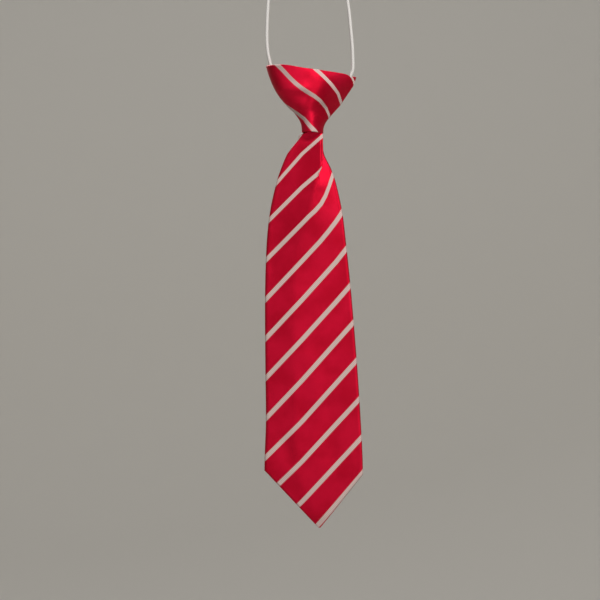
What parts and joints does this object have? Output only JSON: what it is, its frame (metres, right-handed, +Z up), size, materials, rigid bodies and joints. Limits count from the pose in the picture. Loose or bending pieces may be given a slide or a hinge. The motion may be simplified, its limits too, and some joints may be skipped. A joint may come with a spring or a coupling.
{
  "type": "elastic tie",
  "caption": "Child's ready-made tie: hollow funnel knot, pleated blade folded to a back seam, and a round elastic neck loop it hangs by.",
  "frame": {"origin": "the point the tie hangs from: the underside of the elastic loop's arch", "axes": "+Z up, the front of the tie faces -Y, +X to the right of someone looking at its front"},
  "size_m": [0.0596, 0.017, 0.3854],
  "materials": {
    "striped_cloth": "fine satin weave with thin silver-white stripes",
    "white_elastic": "smooth covered round elastic"
  },
  "bodies": {
    "root": {"blade": "striped_cloth", "knot_wrap": "striped_cloth", "knot_under": "striped_cloth", "neck_elastic": "white_elastic"}
  },
  "joints": []
}
